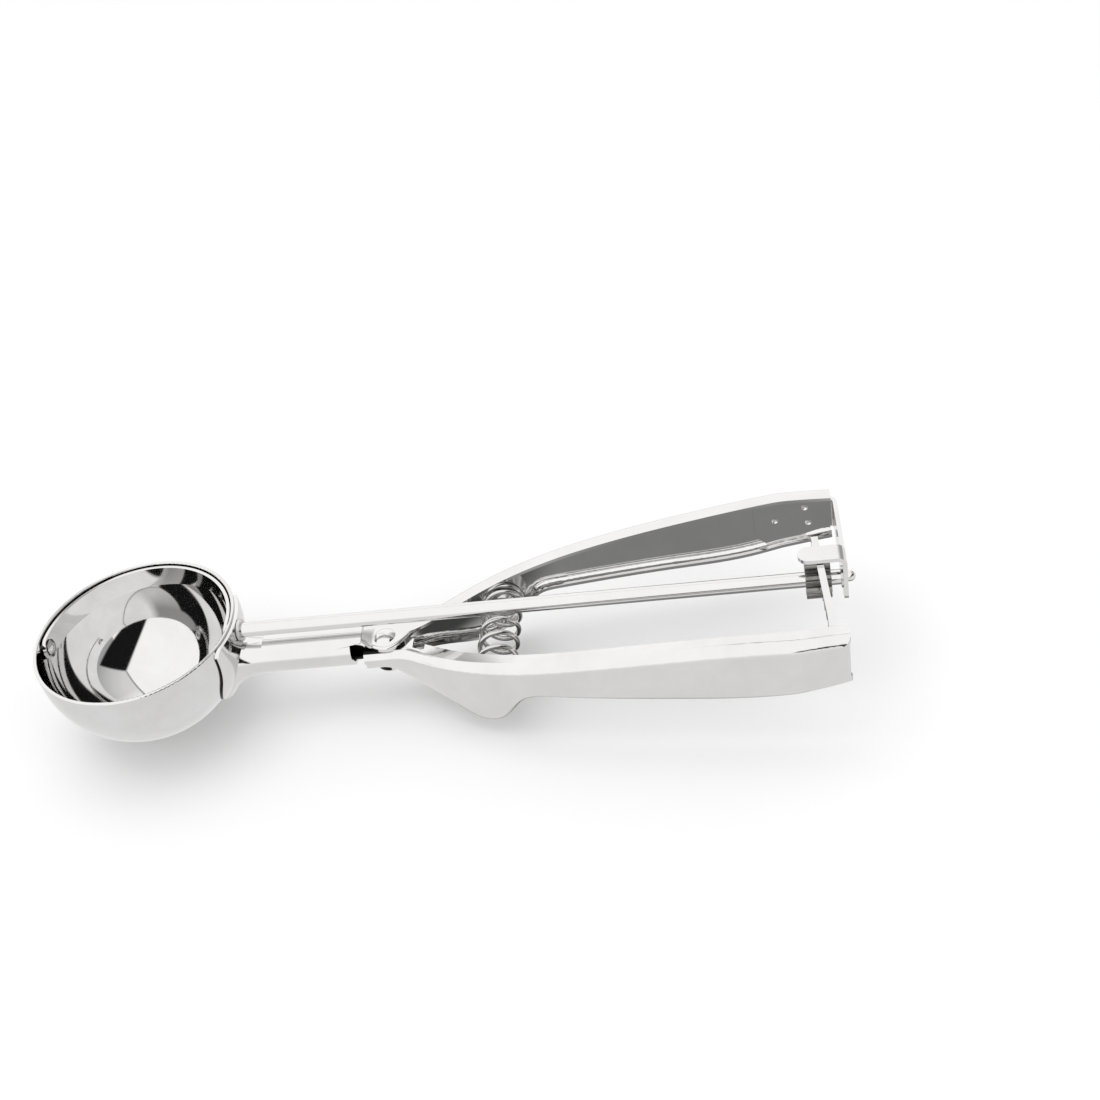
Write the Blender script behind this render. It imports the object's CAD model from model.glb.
"""Lever ice cream scoop in polished stainless steel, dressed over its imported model.

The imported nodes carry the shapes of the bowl, the neck, the handles and the gear.  This script
gives each of them its finish, lays the trough of the fixed handle's tongue in the neck, winds the
return spring so that it closes up with the handles, and stands the scoop in a white light tent.
"""

import logging
from dataclasses import dataclass, field
from enum import Enum
from math import cos, radians, sin, tau

import bpy
from mathutils import Matrix, Vector

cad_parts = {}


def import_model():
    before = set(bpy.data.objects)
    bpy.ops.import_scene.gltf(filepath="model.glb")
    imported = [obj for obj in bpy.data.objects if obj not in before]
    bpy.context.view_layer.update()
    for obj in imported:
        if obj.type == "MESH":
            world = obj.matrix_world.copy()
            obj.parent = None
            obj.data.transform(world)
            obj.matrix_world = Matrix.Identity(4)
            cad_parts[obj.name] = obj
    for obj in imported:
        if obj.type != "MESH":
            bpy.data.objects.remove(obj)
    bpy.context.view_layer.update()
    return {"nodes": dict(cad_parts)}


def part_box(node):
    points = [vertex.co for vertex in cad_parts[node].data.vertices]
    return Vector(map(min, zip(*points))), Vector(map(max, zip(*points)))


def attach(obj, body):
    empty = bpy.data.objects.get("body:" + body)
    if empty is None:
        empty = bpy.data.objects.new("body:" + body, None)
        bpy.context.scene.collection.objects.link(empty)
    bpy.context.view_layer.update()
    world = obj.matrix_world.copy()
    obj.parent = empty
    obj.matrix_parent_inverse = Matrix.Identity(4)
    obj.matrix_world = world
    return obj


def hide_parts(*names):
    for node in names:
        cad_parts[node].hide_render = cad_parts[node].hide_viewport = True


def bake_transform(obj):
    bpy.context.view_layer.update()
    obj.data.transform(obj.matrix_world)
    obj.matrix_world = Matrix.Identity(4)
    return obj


log = logging.getLogger("scoop")

MM = 0.001
MICRON = 0.000001

Point = tuple[float, float, float]
Angles = tuple[float, float]
Tree = bpy.types.NodeTree
Socket = bpy.types.NodeSocket

# Numbers of the Mix node's inputs and output, for plain values and for colours.
VALUE_A, VALUE_B, MIXED_VALUE = 2, 3, 0
COLOUR_A, COLOUR_B, MIXED_COLOUR = 6, 7, 2

# How broken up the noises are: of handled patches, of the slow swell, and of the fine lines.
WEAR_NOISE = {"Detail": 4.0, "Roughness": 0.62, "Distortion": 0.4}
SWELL_NOISE = {"Detail": 1.5, "Roughness": 0.45}
LINE_NOISE = {"Detail": 3.0, "Roughness": 0.55}
# A noise hardly ever leaves this range, so it is stretched from here to the whole range.
WEAR_RANGE = (0.35, 0.65)

# The dull steel of a cut edge or an inside, as the press leaves it.
RAW_COLOUR = "#232321"
RAW_ROUGHNESS = 0.38

BOWL_CENTRE = (-84.25 * MM, 0.0, 28.5 * MM)


# ---------------------------------------------------------------- helpers


def linear_colour(hex_code: str) -> tuple[float, float, float, float]:
    """Turn an sRGB hex colour into the linear values that shaders use, by the standard's formula.

    Args:
        hex_code: A colour such as "#D8D8D6".

    Returns:
        Red, green and blue from 0 to 1, and an alpha of 1.
    """
    digits = hex_code.lstrip("#")
    values = [int(digits[i:i + 2], 16) / 255 for i in (0, 2, 4)]
    red, green, blue = (v / 12.92 if v <= 0.04045 else ((v + 0.055) / 1.055) ** 2.4 for v in values)
    return red, green, blue, 1.0


def add_node(
    tree: Tree,
    kind: str,
    settings: dict[str, object] | None = None,
    inputs: dict[str | int, object] | None = None,
) -> bpy.types.Node:
    """Add a node to a tree, with its settings and its inputs.

    Args:
        tree: The node tree that the node joins.
        kind: Blender's type name of the node, without its leading "ShaderNode".
        settings: Properties of the node itself.
        inputs: What each input gets, by its name or number: a socket to link, or a value.

    Returns:
        The new node.
    """
    node = tree.nodes.new("ShaderNode" + kind)
    for name, value in (settings or {}).items():
        setattr(node, name, value)
    for name, source in (inputs or {}).items():
        if isinstance(source, bpy.types.NodeSocket):
            tree.links.new(source, node.inputs[name])
        else:
            node.inputs[name].default_value = source
    return node


def deselect_all() -> None:
    """Leave nothing selected, so that an operator acts only on what comes next."""
    bpy.ops.object.select_all(action="DESELECT")


def face_outwards() -> None:
    """Turn every face of the active mesh outwards."""
    bpy.ops.object.mode_set(mode="EDIT")
    bpy.ops.mesh.select_all(action="SELECT")
    bpy.ops.mesh.normals_make_consistent(inside=False)
    bpy.ops.object.mode_set(mode="OBJECT")


# ---------------------------------------------------------------- finishes


class Finish(Enum):
    """The ways in which the scoop's steel is worked."""

    MIRROR_DRAWN = "mirror_polished_drawn_steel"
    BRIGHT_STAMPED = "bright_polished_stamped_steel"
    CENTRELESS_GROUND = "centreless_ground_bar"
    TUMBLED = "tumbled_blanked_steel"
    HOBBED = "hobbed_gear_steel"
    DRAWN_WIRE = "bright_drawn_wire"
    RAW_PRESSED = "raw_pressed_steel"


@dataclass(frozen=True)
class SteelFinish:
    """One finish of stainless steel.

    Attributes:
        colour: The metal's colour as an sRGB hex code.
        worn_colour: The colour where it has been handled or washed.
        roughness: The lowest roughness of the surface.
        worn_roughness: The highest roughness, where it has been handled.
        wear_size: Width of a handled patch in metres.
        swell_height: Height in metres of the slow waves that forming leaves.
        swell_size: Width in metres of those waves.
        line_height: Depth in metres of the fine lines that polishing or grinding leaves.
        lines_per_mm: How many of those lines a millimetre crosses along X, Y and Z.
    """

    colour: str
    worn_colour: str
    roughness: float
    worn_roughness: float
    wear_size: float
    swell_height: float
    swell_size: float
    line_height: float
    lines_per_mm: Point


# Each entry says what the process leaves for the eye.  The lines are drawn several times as coarse
# as real ones, which are too fine to show.
FINISHES: dict[Finish, SteelFinish] = {
    # Deep-drawn and buffed to a mirror: the drawing leaves a slow swell that bends reflections, and
    # the buffing leaves rings so faint that they hardly show.
    Finish.MIRROR_DRAWN: SteelFinish(
        colour="#E4E3E3", worn_colour="#DCDBDA", roughness=0.03, worn_roughness=0.07,
        wear_size=16 * MM, swell_height=9 * MICRON, swell_size=11 * MM,
        line_height=0.1 * MICRON, lines_per_mm=(0.16, 0.16, 1.7)),
    # Stamped sheet, then belt-polished lengthwise: softer reflections with a faint long grain.
    Finish.BRIGHT_STAMPED: SteelFinish(
        colour="#E5E4E3", worn_colour="#DEDDDC", roughness=0.06, worn_roughness=0.12,
        wear_size=22 * MM, swell_height=6 * MICRON, swell_size=14 * MM,
        line_height=0.5 * MICRON, lines_per_mm=(0.09, 2.2, 2.2)),
    # Ground round bar: straight, with hair-fine rings round it.
    Finish.CENTRELESS_GROUND: SteelFinish(
        colour="#E4E3E2", worn_colour="#E0DFDE", roughness=0.07, worn_roughness=0.10,
        wear_size=30 * MM, swell_height=2 * MICRON, swell_size=20 * MM,
        line_height=0.6 * MICRON, lines_per_mm=(5.2, 0.3, 0.3)),
    # Blanked plate tumbled with stones: an even satin with no direction.
    Finish.TUMBLED: SteelFinish(
        colour="#DAD9D7", worn_colour="#C9C8C6", roughness=0.17, worn_roughness=0.27,
        wear_size=7 * MM, swell_height=6 * MICRON, swell_size=5 * MM,
        line_height=1.2 * MICRON, lines_per_mm=(2.4, 2.4, 2.4)),
    # Cut teeth left as they come off the machine: darker, with marks across the width.
    Finish.HOBBED: SteelFinish(
        colour="#9C9A97", worn_colour="#83817E", roughness=0.22, worn_roughness=0.34,
        wear_size=4 * MM, swell_height=4 * MICRON, swell_size=3 * MM,
        line_height=2 * MICRON, lines_per_mm=(0.7, 3.6, 3.6)),
    # Wire pulled through a die: bright, and a little uneven from the die.
    Finish.DRAWN_WIRE: SteelFinish(
        colour="#DEDDDB", worn_colour="#C8C7C5", roughness=0.10, worn_roughness=0.20,
        wear_size=5 * MM, swell_height=2 * MICRON, swell_size=4 * MM,
        line_height=0.8 * MICRON, lines_per_mm=(1.5, 1.5, 1.5)),
    # Sheet left as it comes off the press, where no wheel reaches: dark and dull.
    Finish.RAW_PRESSED: SteelFinish(
        colour=RAW_COLOUR, worn_colour="#2E2E2B", roughness=0.34, worn_roughness=0.44,
        wear_size=4 * MM, swell_height=4 * MICRON, swell_size=4 * MM,
        line_height=1 * MICRON, lines_per_mm=(0.9, 0.9, 0.9)),
}


@dataclass(frozen=True)
class Recess:
    """A region of a piece that no polishing wheel reaches: dull, dark, and rough from the press.

    Lengths are in metres, in the scoop's own frame. Across the scoop, the region's section is an
    upright bar with round lower corners, and the region lies inside or outside it.

    Attributes:
        name: What the region is.
        half_width: Half the bar's width.
        straight_half_width: Half the width of the flat between the round corners.
        height: Height of the middle of the round corners above the footprint.
        top: Height at which the region stops.
        reach: Where the region starts and stops along the scoop.
        outside: Whether the region is what lies outside the bar.
        ball_radius: How far from the bowl's centre the region goes, or 0 for no such limit.
    """

    name: str
    half_width: float
    straight_half_width: float
    height: float
    top: float
    reach: tuple[float, float]
    outside: bool = False
    ball_radius: float = 0.0


# The bore of the neck's tube.
NECK_BORE = Recess(
    "bore", half_width=3.97 * MM, straight_half_width=0.0, height=18.3 * MM, top=21 * MM,
    reach=(-50 * MM, -23 * MM))
# The sheared edge round the saddle, 0.08 mm deep, and dark only next to the bowl.
SADDLE_EDGE = Recess(
    "edge", half_width=12.42 * MM, straight_half_width=1 * MM, height=19.5 * MM, top=34 * MM,
    reach=(-65 * MM, -45 * MM), outside=True, ball_radius=29.1 * MM)
# The room between the lugs, round the pivot.
PIVOT_ROOM = Recess(
    "pivot_room", half_width=4.6 * MM, straight_half_width=4.4 * MM, height=12.4 * MM,
    top=20.9 * MM, reach=(-24.4 * MM, -14.5 * MM))


@dataclass
class SteelShop:
    """Makes the scoop's materials, one for each finish and its recesses, and puts them on pieces."""

    made: dict[tuple[Finish, tuple[Recess, ...]], bpy.types.Material] = field(default_factory=dict)

    def dress(
        self, piece: bpy.types.Object, finish: Finish, recesses: tuple[Recess, ...] = ()
    ) -> None:
        """Give a whole piece one finish, in place of what it came with."""
        piece.data.materials.clear()
        piece.data.materials.append(self.material(finish, recesses))

    def material(self, finish: Finish, recesses: tuple[Recess, ...]) -> bpy.types.Material:
        """Give the material of a finish, made when it is first asked for.

        Args:
            finish: The finish that is wanted.
            recesses: Where the polishing didn't reach.

        Returns:
            The material, shared by every piece with that finish and those recesses.
        """
        if (finish, recesses) not in self.made:
            name = finish.value
            if recesses:
                name += "_with_raw_" + "_and_".join(recess.name for recess in recesses)
            self.made[finish, recesses] = self.build(name, FINISHES[finish], recesses)
        return self.made[finish, recesses]

    def build(
        self, name: str, steel: SteelFinish, recesses: tuple[Recess, ...]
    ) -> bpy.types.Material:
        """Build the node tree of one finish.

        Args:
            name: The material's name.
            steel: Its colours, roughness and surface heights.
            recesses: Where the steel stays raw.

        Returns:
            The finished material.
        """
        material = bpy.data.materials.new(name)
        material.use_nodes = True
        tree = material.node_tree
        tree.nodes.clear()
        place = add_node(tree, "TexCoord").outputs["Object"]
        colour, roughness = self.handled_surface(tree, place, steel)
        for recess in recesses:
            mask = self.recess_mask(tree, place, recess)
            colour = add_node(
                tree, "Mix", {"data_type": "RGBA"},
                {"Factor": mask, COLOUR_A: colour, COLOUR_B: linear_colour(RAW_COLOUR)},
            ).outputs[MIXED_COLOUR]
            roughness = add_node(
                tree, "Mix", {"data_type": "FLOAT"},
                {"Factor": mask, VALUE_A: roughness, VALUE_B: RAW_ROUGHNESS},
            ).outputs[MIXED_VALUE]
        shader = add_node(tree, "BsdfPrincipled", inputs={
            "Metallic": 1.0, "Base Color": colour, "Roughness": roughness,
            "Normal": self.relief(tree, place, steel)})
        add_node(tree, "OutputMaterial", inputs={"Surface": shader.outputs["BSDF"]})
        return material

    def handled_surface(
        self, tree: Tree, place: Socket, steel: SteelFinish
    ) -> tuple[Socket, Socket]:
        """Colour and roughness of steel that has been handled in patches.

        Args:
            tree: The material's node tree.
            place: The place on the piece.
            steel: The finish.

        Returns:
            The colour's socket and the roughness's socket.
        """
        wear = add_node(tree, "TexNoise", inputs={
            "Vector": place, "Scale": 1 / steel.wear_size, **WEAR_NOISE}).outputs["Fac"]
        colour = add_node(tree, "ValToRGB", inputs={"Fac": wear})
        stops = zip(colour.color_ramp.elements, WEAR_RANGE, (steel.colour, steel.worn_colour))
        for stop, position, shade in stops:
            stop.position = position
            stop.color = linear_colour(shade)
        roughness = add_node(tree, "MapRange", inputs={
            "Value": wear, "From Min": WEAR_RANGE[0], "From Max": WEAR_RANGE[1],
            "To Min": steel.roughness, "To Max": steel.worn_roughness})
        return colour.outputs["Color"], roughness.outputs["Result"]

    def relief(self, tree: Tree, place: Socket, steel: SteelFinish) -> Socket:
        """Bumps of a finish: the slow swell of forming, and the fine lines on top of it.

        Args:
            tree: The material's node tree.
            place: The place on the piece.
            steel: The finish.

        Returns:
            The bumped normal's socket.
        """
        swell = add_node(tree, "TexNoise", inputs={
            "Vector": place, "Scale": 1 / steel.swell_size, **SWELL_NOISE})
        swell_bump = add_node(tree, "Bump", inputs={
            "Strength": 1.0, "Distance": steel.swell_height, "Height": swell.outputs["Fac"]})
        line_scale = [lines / MM for lines in steel.lines_per_mm]
        stretched = add_node(tree, "Mapping", inputs={"Vector": place, "Scale": line_scale})
        lines = add_node(tree, "TexNoise", inputs={
            "Vector": stretched.outputs["Vector"], "Scale": 1.0, **LINE_NOISE})
        line_bump = add_node(tree, "Bump", inputs={
            "Strength": 1.0, "Distance": steel.line_height, "Height": lines.outputs["Fac"],
            "Normal": swell_bump.outputs["Normal"]})
        return line_bump.outputs["Normal"]

    def recess_mask(self, tree: Tree, place: Socket, recess: Recess) -> Socket:
        """Mask of a recess: 1 in it and 0 elsewhere.

        Args:
            tree: The material's node tree.
            place: The place on the piece.
            recess: The region.

        Returns:
            The mask's socket.
        """
        flat, low = recess.straight_half_width, recess.height
        split = add_node(tree, "SeparateXYZ", inputs={"Vector": place}).outputs
        half = add_node(tree, "Math", {"operation": "ABSOLUTE"}, {0: split["Y"]}).outputs[0]
        past_flat = add_node(tree, "Math", {"operation": "SUBTRACT"}, {0: half, 1: flat}).outputs[0]
        beside = add_node(tree, "Math", {"operation": "MAXIMUM"}, {0: past_flat, 1: 0.0}).outputs[0]
        rise = add_node(tree, "Math", {"operation": "SUBTRACT"}, {0: split["Z"], 1: low}).outputs[0]
        below = add_node(tree, "Math", {"operation": "MINIMUM"}, {0: rise, 1: 0.0}).outputs[0]
        past_corner = add_node(tree, "CombineXYZ", inputs={"X": beside, "Y": below}).outputs["Vector"]
        distance = add_node(tree, "VectorMath", {"operation": "LENGTH"}, {0: past_corner})
        side = "GREATER_THAN" if recess.outside else "LESS_THAN"
        tests = [
            (side, distance.outputs["Value"], recess.half_width - recess.straight_half_width),
            ("LESS_THAN", split["Z"], recess.top),
            ("GREATER_THAN", split["X"], recess.reach[0]),
            ("LESS_THAN", split["X"], recess.reach[1]),
        ]
        if recess.ball_radius:
            from_centre = add_node(
                tree, "VectorMath", {"operation": "DISTANCE"}, {0: place, 1: BOWL_CENTRE})
            tests.append(("LESS_THAN", from_centre.outputs["Value"], recess.ball_radius))
        mask = 1.0
        for test, value, limit in tests:
            passed = add_node(tree, "Math", {"operation": test}, {0: value, 1: limit}).outputs[0]
            mask = add_node(tree, "Math", {"operation": "MULTIPLY"}, {0: mask, 1: passed}).outputs[0]
        return mask


# ---------------------------------------------------------------- sub-assemblies


@dataclass
class SubAssembly:
    """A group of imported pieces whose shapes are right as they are.

    Attributes:
        finishes: The finish of each piece, by the piece's name.
        recesses: The regions that stay raw, by the piece's name.
    """

    finishes: dict[str, Finish] = field(default_factory=dict)
    recesses: dict[str, tuple[Recess, ...]] = field(default_factory=dict)

    def dress(self, nodes: dict[str, bpy.types.Object], shop: SteelShop) -> list[bpy.types.Object]:
        """Give each piece of the group its finish.

        Args:
            nodes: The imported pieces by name.
            shop: Where the finishes come from.

        Returns:
            The pieces of the group.
        """
        for name, finish in self.finishes.items():
            shop.dress(nodes[name], finish, self.recesses.get(name, ()))
        return [nodes[name] for name in self.finishes]


@dataclass
class BowlAndBlade(SubAssembly):
    """The drawn bowl, the scraper blade in it, and the pin and bush that they turn on."""

    finishes: dict[str, Finish] = field(default_factory=lambda: {
        "bowl": Finish.MIRROR_DRAWN,
        "scraper_blade": Finish.MIRROR_DRAWN,
        "blade_pivot_pin": Finish.TUMBLED,
        "rod_bush": Finish.TUMBLED,
    })


@dataclass
class Handles(SubAssembly):
    """The neck, the two stamped handles, the rivet that joins them and the spring's seats."""

    finishes: dict[str, Finish] = field(default_factory=lambda: {
        "neck": Finish.BRIGHT_STAMPED,
        "upper_handle": Finish.BRIGHT_STAMPED,
        "lower_handle": Finish.BRIGHT_STAMPED,
        "pivot_rivet": Finish.BRIGHT_STAMPED,
        "pivot_spacer": Finish.TUMBLED,
        "pivot_washers": Finish.TUMBLED,
        "upper_spring_seat": Finish.TUMBLED,
        "lower_spring_seat": Finish.TUMBLED,
    })
    recesses: dict[str, tuple[Recess, ...]] = field(default_factory=lambda: {
        "neck": (NECK_BORE, SADDLE_EDGE),
        "upper_handle": (PIVOT_ROOM,),
        "lower_handle": (PIVOT_ROOM,),
    })


@dataclass
class Drive(SubAssembly):
    """The rod, the gear at its back that the lever's rack turns, and what holds them."""

    finishes: dict[str, Finish] = field(default_factory=lambda: {
        "rod": Finish.CENTRELESS_GROUND,
        "pinion": Finish.HOBBED,
        "thrust_washer": Finish.TUMBLED,
        "rack": Finish.BRIGHT_STAMPED,
        "bearing_bracket": Finish.BRIGHT_STAMPED,
    })


@dataclass
class TongueTrough:
    """The lower half of the fixed handle's tongue: a trough that runs on from the tube to the pivot.

    Attributes:
        front_x: Where it starts inside the tube, along the scoop.
        back_x: Where it ends between the lugs.
        axis_z: Height of the tube's axis.
        radius: Outside radius of the trough.
        sheet: Thickness of its sheet.
        segments: Straight runs round the whole circle that it is cut from.
        cut_normal: Direction that the cut's plane faces, away from the half that stays.
        smooth_angle: Angle in degrees up to which its faces are shaded as one surface.
    """

    front_x: float = -27.5 * MM
    back_x: float = -19.9 * MM
    axis_z: float = 18.3 * MM
    radius: float = 3.5 * MM
    sheet: float = 0.6 * MM
    segments: int = 64
    cut_normal: Point = (0.0, -0.45, 0.89)
    smooth_angle: float = 35.0

    def build(self, shop: SteelShop) -> bpy.types.Object:
        """Cut a tube lengthwise, give it its sheet and set it in the neck.

        Args:
            shop: Where its finish comes from.

        Returns:
            The finished trough.
        """
        deselect_all()
        bpy.ops.mesh.primitive_cylinder_add(
            vertices=self.segments, radius=self.radius, depth=self.back_x - self.front_x,
            end_fill_type="NOTHING")
        trough = bpy.context.object
        trough.name = "tongue_trough"
        middle_x = (self.front_x + self.back_x) / 2
        trough.data.transform(Matrix((
            (0, 0, 1, middle_x), (0, 1, 0, 0), (-1, 0, 0, self.axis_z), (0, 0, 0, 1))))
        bpy.ops.object.mode_set(mode="EDIT")
        bpy.ops.mesh.select_all(action="SELECT")
        bpy.ops.mesh.bisect(
            plane_co=(0, 0, self.axis_z), plane_no=self.cut_normal, clear_outer=True)
        bpy.ops.object.mode_set(mode="OBJECT")
        face_outwards()
        wall = trough.modifiers.new("sheet", "SOLIDIFY")
        wall.thickness = self.sheet
        wall.offset = -1.0
        wall.use_even_offset = True
        bpy.ops.object.modifier_apply(modifier=wall.name)
        face_outwards()
        bpy.ops.object.shade_smooth_by_angle(angle=radians(self.smooth_angle))
        shop.dress(trough, Finish.RAW_PRESSED)
        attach(trough, "frame")
        return trough


@dataclass
class ReturnSpring:
    """The compression coil between the handles, which closes up as they are squeezed.

    Attributes:
        axis_x: Place of the coil's axis along the scoop, in metres.
        axis_z: Height of the coil's axis above the footprint, in metres.
        mean_radius: Radius from the axis to the middle of the wire.
        wire_radius: Radius of the wire.
        turns: Number of turns, dead ones at the ends included.
        dead_turns: Turns at each end that lie close to each other.
        opening_turns: Share of a turn in which the pitch opens from a dead turn to a working one.
        close_pitch: Pitch of the dead turns over the wire's radius, a little more than touching.
        steps: Straight runs in one turn.
        wire_resolution: How finely the wire's section is divided.
    """

    axis_x: float = 16.55 * MM
    axis_z: float = 17.2 * MM
    mean_radius: float = 5.1 * MM
    wire_radius: float = 0.7 * MM
    turns: float = 7.25
    dead_turns: float = 0.8
    opening_turns: float = 0.3
    close_pitch: float = 2.06
    steps: int = 40
    wire_resolution: int = 4

    def build(self, shop: SteelShop) -> bpy.types.Object:
        """Wind the coil, put it between its seats and let it follow both handles.

        Args:
            shop: Where its finish comes from.

        Returns:
            The finished coil.
        """
        low, high = (corner.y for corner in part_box("spring"))
        coil = self.wind(high - self.wire_radius, low + self.wire_radius)
        shop.dress(coil, Finish.DRAWN_WIRE)
        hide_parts("spring")
        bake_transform(coil)
        return coil

    def wind(self, start_y: float, end_y: float) -> bpy.types.Object:
        """Wind the wire's middle line by a screw of one point, then give it thickness.

        Args:
            start_y: Place of the wire's middle at the fixed handle's end.
            end_y: Place of the wire's middle at the lever's end.

        Returns:
            The coil as a mesh, its place in its points.
        """
        deselect_all()
        bpy.ops.mesh.primitive_plane_add(size=self.wire_radius)
        coil = bpy.context.object
        coil.name = "return_spring"
        bpy.ops.object.mode_set(mode="EDIT")
        bpy.ops.mesh.select_all(action="SELECT")
        bpy.ops.mesh.merge(type="CENTER")
        bpy.ops.transform.translate(value=(self.mean_radius, 0, 0))
        bpy.ops.object.mode_set(mode="OBJECT")
        screw = coil.modifiers.new("winding", "SCREW")
        screw.angle = self.turns * tau
        screw.screw_offset = self.turns
        screw.steps = screw.render_steps = int(self.steps * self.turns)
        bpy.ops.object.modifier_apply(modifier=screw.name)
        self.close_ends(coil, start_y - end_y)
        bpy.ops.object.convert(target="CURVE")
        coil = bpy.context.object
        coil.data.dimensions = "3D"
        coil.data.bevel_depth = self.wire_radius
        coil.data.bevel_resolution = self.wire_resolution
        coil.data.use_fill_caps = True
        bpy.ops.object.convert(target="MESH")
        coil = bpy.context.object
        coil.data.transform(Matrix((
            (1, 0, 0, self.axis_x), (0, 0, -1, start_y), (0, 1, 0, self.axis_z), (0, 0, 0, 1))))
        bpy.ops.object.shade_smooth()
        return coil

    def close_ends(self, coil: bpy.types.Object, length: float) -> None:
        """Space the turns: close in the dead turns at the ends, open between them.

        Args:
            coil: The wire's middle line, with one unit of height for each turn.
            length: The height that it is to have, in metres.
        """
        points = sorted(coil.data.vertices, key=lambda point: point.co.z)
        turns = [point.co.z for point in points]
        steps = [after - before for before, after in zip(turns, turns[1:])]
        opening = [self.openness((before + after) / 2) for before, after in zip(turns, turns[1:])]
        dead_pitch = self.close_pitch * self.wire_radius
        working_turns = sum(step * share for step, share in zip(steps, opening))
        extra_pitch = (length - dead_pitch * self.turns) / working_turns
        height = 0.0
        points[0].co.z = 0.0
        for point, step, share in zip(points[1:], steps, opening):
            height += step * (dead_pitch + extra_pitch * share)
            point.co.z = height

    def openness(self, turn: float) -> float:
        """Share of the working pitch at a turn.

        Args:
            turn: The turn, counted from one end.

        Returns:
            0 in the dead turns and 1 between them, with a smooth step from one to the other.
        """
        from_end = min(turn, self.turns - turn)
        share = min(max((from_end - self.dead_turns) / self.opening_turns, 0.0), 1.0)
        return share * share * (3 - 2 * share)


# ---------------------------------------------------------------- studio


def towards(zenith: float, azimuth: float) -> Vector:
    """Direction from its angle off straight up and its angle round from +X, in degrees."""
    lean, turn = radians(zenith), radians(azimuth)
    return Vector((sin(lean) * cos(turn), sin(lean) * sin(turn), cos(lean)))


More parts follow.
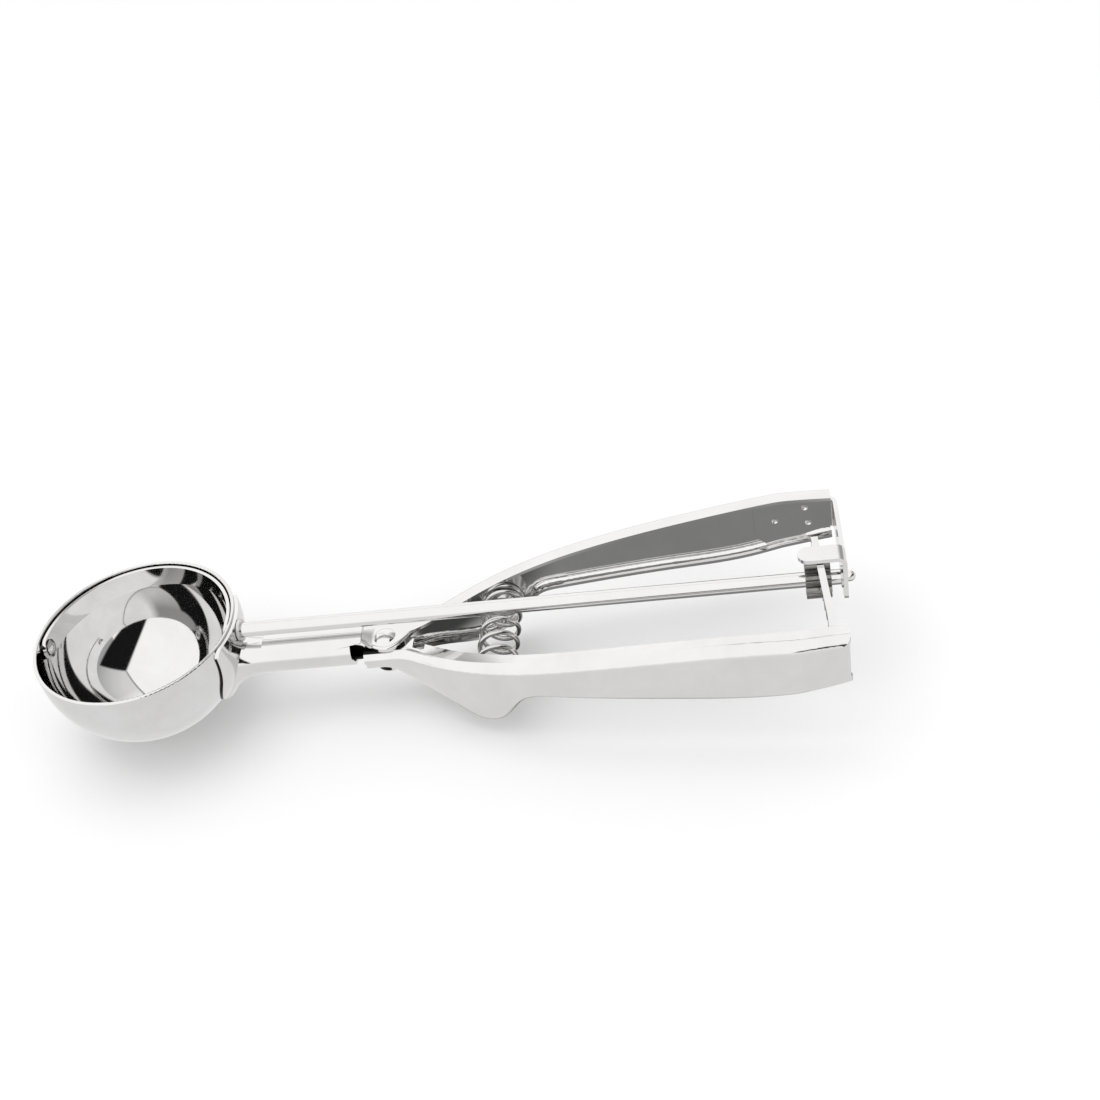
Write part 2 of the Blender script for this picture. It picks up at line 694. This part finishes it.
@dataclass
class LightTent:
    """The white tent that the polished steel mirrors: two bright walls and one dark opening.

    Places are a zenith and an azimuth in degrees. Softness, reach and height are lengths on a ball
    of radius 1 round the scoop.

    Attributes:
        bright_wall: Strength of the wall on the left and overhead.
        plain_wall: Strength of the wall behind the handles, high up.
        plain_foot: Its strength low down.
        plain_heights: Heights between which it changes.
        opening: Strength inside the opening that the camera looks through.
        seam: Strength of the seam between the walls.
        corner: Where both walls and the opening meet.
        opening_foot: Low end of the opening's left edge.
        opening_top: Far end of the opening's top edge.
        opening_right: Low end of the opening's right edge.
        seam_end: A place on the seam between the walls.
        seam_foot: Where the walls meet at the horizon.
        opening_softness: Half the width over which the opening's edges change.
        seam_softness: Half the width over which the walls change at the seam.
        foot_softness: Half the width over which they change below the seam.
        seam_reach: Distances beside the seam's line at which it ends and at which it is full.
    """

    bright_wall: float = 1.18
    plain_wall: float = 0.85
    plain_foot: float = 0.42
    plain_heights: tuple[float, float] = (0.42, 0.82)
    opening: float = 0.01
    seam: float = 0.35
    corner: Angles = (33.7, -2.0)
    opening_foot: Angles = (70.0, -78.0)
    opening_top: Angles = (63.2, 7.5)
    opening_right: Angles = (72.0, -45.0)
    seam_end: Angles = (23.0, 64.0)
    seam_foot: Angles = (90.0, 66.0)
    opening_softness: float = 0.02
    seam_softness: float = 0.01
    foot_softness: float = 0.15
    seam_reach: tuple[float, float] = (0.022, 0.008)

    def build(self) -> None:
        """Make the world: plain white for light, the tent's walls for mirrors."""
        world = bpy.data.worlds.new("light_tent")
        bpy.context.scene.world = world
        world.use_nodes = True
        tree = world.node_tree
        tree.nodes.clear()
        ray = add_node(tree, "LightPath").outputs
        direction = add_node(tree, "TexCoord").outputs["Generated"]
        walls = self.walls(tree, direction)
        inside = self.inside_opening(tree, direction)
        tent = add_node(
            tree, "Mix", {"data_type": "FLOAT"},
            {"Factor": inside, VALUE_A: walls, VALUE_B: self.opening}).outputs[MIXED_VALUE]
        strength = add_node(
            tree, "Mix", {"data_type": "FLOAT"},
            {"Factor": ray["Is Glossy Ray"], VALUE_A: 1.0, VALUE_B: tent}).outputs[MIXED_VALUE]
        shader = add_node(tree, "Background", inputs={"Color": (1, 1, 1, 1), "Strength": strength})
        add_node(tree, "OutputWorld", inputs={"Surface": shader.outputs["Background"]})

    def walls(self, tree: Tree, direction: Socket) -> Socket:
        """Strength of the two walls and of the seam between them.

        Args:
            tree: The world's node tree.
            direction: The ray's direction.

        Returns:
            The strength's socket.
        """
        above_seam = self.side(tree, direction, self.corner, self.seam_end, self.seam_softness)
        above_foot = self.side(tree, direction, self.seam_end, self.seam_foot, self.foot_softness)
        on_plain = add_node(
            tree, "Math", {"operation": "MULTIPLY"}, {0: above_seam, 1: above_foot}).outputs[0]
        height = add_node(tree, "SeparateXYZ", inputs={"Vector": direction}).outputs["Z"]
        plain = add_node(tree, "MapRange", inputs={
            "Value": height, "From Min": self.plain_heights[0], "From Max": self.plain_heights[1],
            "To Min": self.plain_foot, "To Max": self.plain_wall}).outputs["Result"]
        both = add_node(
            tree, "Mix", {"data_type": "FLOAT"},
            {"Factor": on_plain, VALUE_A: self.bright_wall, VALUE_B: plain}).outputs[MIXED_VALUE]
        on_seam = self.line(tree, direction, self.corner, self.seam_end)
        return add_node(
            tree, "Mix", {"data_type": "FLOAT"},
            {"Factor": on_seam, VALUE_A: both, VALUE_B: self.seam}).outputs[MIXED_VALUE]

    def inside_opening(self, tree: Tree, direction: Socket) -> Socket:
        """Mask of the opening, on the right of each of its edges.

        Args:
            tree: The world's node tree.
            direction: The ray's direction.

        Returns:
            A value of 1 inside the opening and 0 outside it.
        """
        inside = 1.0
        corners = (self.opening_foot, self.corner, self.opening_top, self.opening_right)
        for first, second in zip(corners, corners[1:]):
            edge = self.side(tree, direction, first, second, self.opening_softness)
            inside = add_node(
                tree, "Math", {"operation": "MULTIPLY"}, {0: inside, 1: edge}).outputs[0]
        return inside

    def side(
        self, tree: Tree, direction: Socket, first: Angles, second: Angles, softness: float
    ) -> Socket:
        """Mask of the directions on the right of a straight edge, seen from inside the tent.

        Args:
            tree: The world's node tree.
            direction: The ray's direction.
            first: One end of the edge.
            second: Its other end.
            softness: Half the width over which the mask changes.

        Returns:
            A value of 1 on the right of the edge and 0 on its left.
        """
        normal = towards(*second).cross(towards(*first)).normalized()
        beside = add_node(
            tree, "VectorMath", {"operation": "DOT_PRODUCT"}, {0: direction, 1: normal})
        mask = add_node(tree, "MapRange", inputs={
            "Value": beside.outputs["Value"], "From Min": -softness, "From Max": softness})
        return mask.outputs["Result"]

    def line(self, tree: Tree, direction: Socket, first: Angles, second: Angles) -> Socket:
        """Mask of a narrow seam that starts at the first place and runs past the second.

        Args:
            tree: The world's node tree.
            direction: The ray's direction.
            first: Where the seam starts.
            second: A place that it passes.

        Returns:
            A value of 1 on the seam and 0 beside it.
        """
        start, end = towards(*first), towards(*second)
        normal = start.cross(end).normalized()
        beside = add_node(
            tree, "VectorMath", {"operation": "DOT_PRODUCT"}, {0: direction, 1: normal})
        distance = add_node(
            tree, "Math", {"operation": "ABSOLUTE"}, {0: beside.outputs["Value"]}).outputs[0]
        near = add_node(tree, "MapRange", inputs={
            "Value": distance, "From Min": self.seam_reach[0], "From Max": self.seam_reach[1]})
        past_start = add_node(
            tree, "VectorMath", {"operation": "DOT_PRODUCT"},
            {0: direction, 1: normal.cross(start).normalized()})
        after = add_node(tree, "MapRange", inputs={
            "Value": past_start.outputs["Value"],
            "From Min": -self.seam_softness, "From Max": self.seam_softness})
        return add_node(
            tree, "Math", {"operation": "MULTIPLY"},
            {0: near.outputs["Result"], 1: after.outputs["Result"]}).outputs[0]


@dataclass(frozen=True)
class Oval:
    """A region of the floor with a soft edge.

    Attributes:
        middle: Its middle.
        reach: Its half length and half width.
        edge: Shares of the reach at which its edge starts and ends.
    """

    middle: Point
    reach: tuple[float, float]
    edge: tuple[float, float]


@dataclass(frozen=True)
class SoftLamp:
    """A square soft lamp that faces the scoop and doesn't show in the steel.

    Attributes:
        name: Its name.
        place: Where it hangs.
        size: Its width in metres.
        power: Its power in watts.
    """

    name: str
    place: Point
    size: float
    power: float


@dataclass
class Studio:
    """The pale floor, and the soft lamps over it.

    In the steel the floor shows as the tent's own floor: bright far away, greyer near the scoop and
    between the handles, and dark under the pivot, where a black flag lies.

    Attributes:
        size: Width of the floor in metres.
        colour: The floor's own colour.
        far: How bright the far floor is in the steel.
        near: How bright it is near the scoop.
        shade: How bright it is between the handles.
        flag: How bright the flag is.
        near_oval: The near floor.
        shade_oval: The shade between the handles.
        flag_oval: The flag.
        pale_oval: Where the camera sees the pale floor, before it runs into the white backdrop.
        lamps: The lamps over the floor.
    """

    size: float = 6.0
    colour: str = "#EFEFEF"
    far: float = 1.0
    near: float = 0.84
    shade: float = 0.25
    flag: float = 0.06
    near_oval: Oval = Oval((-0.03, 0.0, 0.0), reach=(0.11, 0.06), edge=(0.9, 4.5))
    shade_oval: Oval = Oval((0.075, 0.001, 0.0), reach=(0.058, 0.028), edge=(0.6, 1.3))
    flag_oval: Oval = Oval((0.016, -0.004, 0.0), reach=(0.018, 0.013), edge=(0.6, 1.3))
    pale_oval: Oval = Oval((0.0, 0.0, 0.0), reach=(1.0, 1.0), edge=(0.25, 0.8))
    lamps: tuple[SoftLamp, ...] = (
        SoftLamp("lamp_over", (-0.2, 0.1, 0.9), size=0.7, power=2.0),
        SoftLamp("lamp_right", (0.8, -0.5, 0.6), size=0.5, power=1.0),
    )

    def build(self) -> None:
        """Lay the floor and hang the lamps."""
        self.lay_floor()
        for lamp in self.lamps:
            self.hang(lamp)

    def lay_floor(self) -> None:
        """Lay the pale floor under the scoop."""
        deselect_all()
        bpy.ops.mesh.primitive_plane_add(size=self.size, location=(0, 0, 0))
        floor = bpy.context.object
        floor.name = "floor"
        floor.data.materials.append(self.floor_material())

    def floor_material(self) -> bpy.types.Material:
        """Make the floor's matt paint, with its glow in the steel and its white far edge.

        Returns:
            The finished material.
        """
        material = bpy.data.materials.new("pale_matt_floor")
        material.use_nodes = True
        tree = material.node_tree
        tree.nodes.clear()
        ray = add_node(tree, "LightPath").outputs
        place = add_node(tree, "TexCoord").outputs["Object"]
        matt = add_node(tree, "BsdfDiffuse", inputs={"Color": linear_colour(self.colour)})
        backdrop = add_node(tree, "Emission")
        pale = self.share(tree, place, self.pale_oval)
        far_in_view = add_node(
            tree, "Math", {"operation": "SUBTRACT", "use_clamp": True},
            {0: ray["Is Camera Ray"], 1: pale}).outputs[0]
        seen = add_node(tree, "MixShader", inputs={
            0: far_in_view, 1: matt.outputs["BSDF"], 2: backdrop.outputs["Emission"]})
        mirrored = add_node(
            tree, "Emission", inputs={"Strength": self.mirrored_strength(tree, place)})
        shader = add_node(tree, "MixShader", inputs={
            0: ray["Is Glossy Ray"], 1: seen.outputs["Shader"], 2: mirrored.outputs["Emission"]})
        add_node(tree, "OutputMaterial", inputs={"Surface": shader.outputs["Shader"]})
        return material

    def mirrored_strength(self, tree: Tree, place: Socket) -> Socket:
        """How bright the floor is in the steel.

        Args:
            tree: The floor's node tree.
            place: The place on the floor.

        Returns:
            The strength's socket.
        """
        strength = self.far
        regions = (
            (self.near_oval, self.near), (self.shade_oval, self.shade), (self.flag_oval, self.flag))
        for oval, value in regions:
            share = self.share(tree, place, oval)
            strength = add_node(
                tree, "Mix", {"data_type": "FLOAT"},
                {"Factor": share, VALUE_A: strength, VALUE_B: value}).outputs[MIXED_VALUE]
        return strength

    def share(self, tree: Tree, place: Socket, oval: Oval) -> Socket:
        """A value that falls softly from the inside of an oval on the floor to its outside.

        Args:
            tree: The floor's node tree.
            place: The place on the floor.
            oval: The region.

        Returns:
            A value of 1 inside the oval and 0 outside it.
        """
        moved = add_node(
            tree, "VectorMath", {"operation": "SUBTRACT"}, {0: place, 1: oval.middle})
        squeeze = (1 / oval.reach[0], 1 / oval.reach[1], 0)
        scaled = add_node(
            tree, "VectorMath", {"operation": "MULTIPLY"}, {0: moved.outputs["Vector"], 1: squeeze})
        length = add_node(
            tree, "VectorMath", {"operation": "LENGTH"}, {0: scaled.outputs["Vector"]})
        value = add_node(tree, "MapRange", {"interpolation_type": "SMOOTHSTEP"}, {
            "Value": length.outputs["Value"], "From Min": oval.edge[0], "From Max": oval.edge[1],
            "To Min": 1.0, "To Max": 0.0})
        return value.outputs["Result"]

    def hang(self, soft: SoftLamp) -> None:
        """Hang a soft lamp and turn it to the scoop.

        Args:
            soft: The lamp's place, size and power.
        """
        data = bpy.data.lights.new(soft.name, "AREA")
        data.energy = soft.power
        data.size = soft.size
        lamp = bpy.data.objects.new(soft.name, data)
        bpy.context.scene.collection.objects.link(lamp)
        lamp.location = soft.place
        lamp.visible_glossy = False
        lamp.rotation_mode = "QUATERNION"
        lamp.rotation_quaternion = (-Vector(soft.place)).to_track_quat("-Z", "Y")


@dataclass
class Camera:
    """The camera, which looks down at the scoop from the lever's side.

    Attributes:
        focal_px: Focal length in pixels of a square picture.
        frame_px: Width of that picture in pixels.
        sensor_mm: Width of the sensor in millimetres.
        nearest: Distance in metres from which things show.
        furthest: Distance in metres up to which things show.
        centre: Place of the lens in metres.
        forward: Direction in which it looks.
        down: Direction of the picture's lower edge.
    """

    focal_px: float = 1500.0
    frame_px: float = 1100.0
    sensor_mm: float = 36.0
    nearest: float = 0.01
    furthest: float = 20.0
    centre: Point = (0.0913, -0.2934, 0.2978)
    forward: Point = (-0.143, 0.752, -0.643)
    down: Point = (-0.093, -0.657, -0.748)

    def place(self) -> None:
        """Make the camera and set it as the scene's."""
        data = bpy.data.cameras.new("camera")
        data.sensor_width = self.sensor_mm
        data.lens = self.sensor_mm * self.focal_px / self.frame_px
        data.clip_start = self.nearest
        data.clip_end = self.furthest
        camera = bpy.data.objects.new("camera", data)
        bpy.context.scene.collection.objects.link(camera)
        ahead = Vector(self.forward).normalized()
        down = Vector(self.down)
        down = (down - ahead * down.dot(ahead)).normalized()
        right = down.cross(ahead)
        turn = Matrix((right, -down, -ahead)).transposed()
        camera.matrix_world = Matrix.Translation(self.centre) @ turn.to_4x4()
        bpy.context.scene.camera = camera


def main() -> None:
    """Dress the scoop and set it in its studio."""
    logging.basicConfig(level=logging.INFO, format="%(name)s: %(message)s")
    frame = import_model()
    Camera().place()
    shop = SteelShop()
    pieces = []
    for assembly in (BowlAndBlade(), Handles(), Drive()):
        pieces += assembly.dress(frame["nodes"], shop)
    for part in (TongueTrough(), ReturnSpring()):
        pieces.append(part.build(shop))
    for piece in pieces:
        log.info("%s: %s", piece.name, piece.active_material.name)
    LightTent().build()
    Studio().build()
    bpy.context.scene.view_settings.view_transform = "Standard"


if __name__ == "__main__":
    main()
